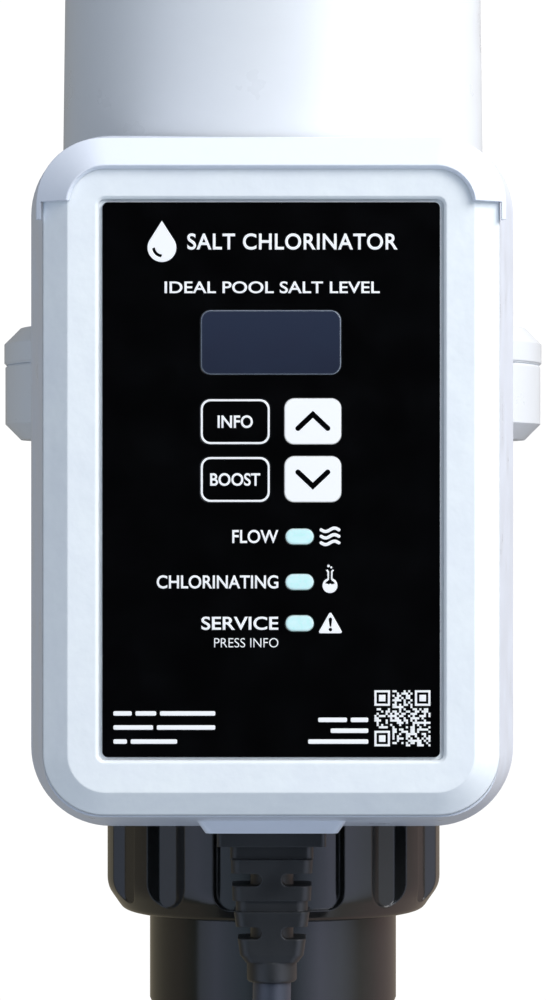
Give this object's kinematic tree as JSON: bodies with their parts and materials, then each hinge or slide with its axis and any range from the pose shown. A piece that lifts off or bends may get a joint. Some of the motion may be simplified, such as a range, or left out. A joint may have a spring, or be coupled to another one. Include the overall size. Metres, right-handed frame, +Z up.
{
  "type": "salt chlorine generator",
  "caption": "Inline pool salt chlorine generator: white flow-through cell with a ribbed union nut at each end, a front control housing with display and keys, and a coiled cord.",
  "frame": {"origin": "centre of the lower pipe socket's mouth, on the pipe axis", "axes": "+Z up along the pipe axis towards the outlet, -Y out of the control panel, +X to the panel's right"},
  "size_m": [0.1712, 0.1864, 0.655],
  "materials": {
    "cell_white": "satin moulded ABS",
    "housing_white": "smooth moulded ABS",
    "bezel_white": "finely textured moulded ABS",
    "union_black": "glossy moulded ABS",
    "label_black": "glossy printed polycarbonate sheet",
    "key_white": "glossy printed key face",
    "window_clear": "tinted clear polycarbonate",
    "lens_cyan": "frosted light pipe",
    "rubber_black": "moulded rubber",
    "cord_black": "smooth PVC cord jacket",
    "seal_rubber": "EPDM seal",
    "steel_screw": "stainless steel",
    "titanium": "titanium",
    "coated_titanium": "ruthenium oxide coated titanium",
    "board_green": "solder mask on glass epoxy",
    "black_component": "moulded epoxy",
    "relay_blue": "moulded case",
    "terminal_green": "moulded nylon",
    "led_clear": "clear epoxy",
    "lcd_glass": "display glass and carrier",
    "heat_sink_aluminium": "extruded aluminium",
    "copper_wound": "enamelled copper winding",
    "wire_insulation": "insulated wire",
    "grey_nylon": "moulded nylon",
    "magnet_nickel": "nickel-plated magnet",
    "contact_brass": "gold-flashed brass",
    "tie_black": "hook-and-loop strap"
  },
  "bodies": {
    "root": {"cell_body_lower": "cell_white", "cell_body_upper": "cell_white", "rear_housing": "housing_white", "housing_gasket": "seal_rubber", "front_bezel": "bezel_white", "graphic_overlay": "label_black", "display_window": "window_clear", "flow_lens": "lens_cyan", "chlorinating_lens": "lens_cyan", "warning_lens": "lens_cyan", "housing_screws": "steel_screw", "saddle_screws": "steel_screw", "control_board": "board_green", "board_screws": "steel_screw", "lcd_module": "lcd_glass", "indicator_leds": "led_clear", "switch_bases": "black_component", "microcontroller": "black_component", "heat_sink": "heat_sink_aluminium", "capacitors": "black_component", "relays": "relay_blue", "inductor": "copper_wound", "terminal_block": "terminal_green", "anode_plates": "coated_titanium", "cathode_plates": "titanium", "bus_bars": "titanium", "electrode_comb_lower": "grey_nylon", "electrode_comb_upper": "grey_nylon", "terminal_studs": "titanium", "stud_seals": "seal_rubber", "stud_nuts": "steel_screw", "flow_sensor_body": "grey_nylon", "flow_sensor_seal": "seal_rubber", "paddle_pin": "titanium", "temperature_probe": "titanium", "cord_leads": "wire_insulation", "electrode_leads": "wire_insulation", "sensor_leads": "wire_insulation", "strain_relief": "rubber_black", "power_cord": "cord_black", "cord_coil": "cord_black", "cord_tail": "cord_black", "cord_ties": "tie_black", "connector_boot": "rubber_black", "connector_shell": "union_black", "connector_pins": "contact_brass"},
    "lower_tail": {"tailpiece_lower": "union_black", "o_ring_lower": "seal_rubber"},
    "lower_nut": {"union_nut_lower": "union_black"},
    "upper_tail": {"tailpiece_upper": "union_black", "o_ring_upper": "seal_rubber"},
    "upper_nut": {"union_nut_upper": "union_black"},
    "info_button": {"key_info": "label_black"},
    "boost_button": {"key_boost": "label_black"},
    "up_button": {"key_up": "key_white"},
    "down_button": {"key_down": "key_white"},
    "paddle": {"flow_paddle": "grey_nylon", "paddle_magnet": "magnet_nickel"},
    "coupling_ring": {"connector_ring": "union_black"}
  },
  "joints": [
    {"name": "lower_tail_draw", "type": "slide", "parent": "root", "child": "lower_tail", "axis": [0, 0, -1], "range_m": [0, 0.0201]},
    {"name": "lower_nut_turn", "type": "hinge", "parent": "lower_tail", "child": "lower_nut", "pos_m": [0, 0, 0.04], "axis": [0, 0, -1], "range_deg": [0, 1440]},
    {"name": "upper_tail_draw", "type": "slide", "parent": "root", "child": "upper_tail", "axis": [0, 0, 1], "range_m": [0, 0.0201]},
    {"name": "upper_nut_turn", "type": "hinge", "parent": "upper_tail", "child": "upper_nut", "pos_m": [0, 0, 0.379], "axis": [0, 0, 1], "range_deg": [0, 1440]},
    {"name": "key_info_press", "type": "slide", "parent": "root", "child": "info_button", "axis": [0, 1, 0], "range_m": [0, 0.0005], "stiffness_N_per_m": 1500, "springref_m": -0.0003},
    {"name": "key_boost_press", "type": "slide", "parent": "root", "child": "boost_button", "axis": [0, 1, 0], "range_m": [0, 0.0005], "stiffness_N_per_m": 1500, "springref_m": -0.0003},
    {"name": "key_up_press", "type": "slide", "parent": "root", "child": "up_button", "axis": [0, 1, 0], "range_m": [0, 0.0005], "stiffness_N_per_m": 1500, "springref_m": -0.0003},
    {"name": "key_down_press", "type": "slide", "parent": "root", "child": "down_button", "axis": [0, 1, 0], "range_m": [0, 0.0005], "stiffness_N_per_m": 1500, "springref_m": -0.0003},
    {"name": "flow_paddle_swing", "type": "hinge", "parent": "root", "child": "paddle", "pos_m": [0, -0.033, 0.118], "axis": [1, 0, 0], "range_deg": [0, 35]},
    {"name": "coupling_ring_turn", "type": "hinge", "parent": "root", "child": "coupling_ring", "pos_m": [-0.079, -0.078, -0.226], "axis": [0, 0, -1], "range_deg": [0, 60]}
  ],
  "couplings": [
    {"joint": "lower_tail_draw", "follows": "lower_nut_turn", "m_per_rad": 0.00079577},
    {"joint": "upper_tail_draw", "follows": "upper_nut_turn", "m_per_rad": 0.00079577}
  ]
}
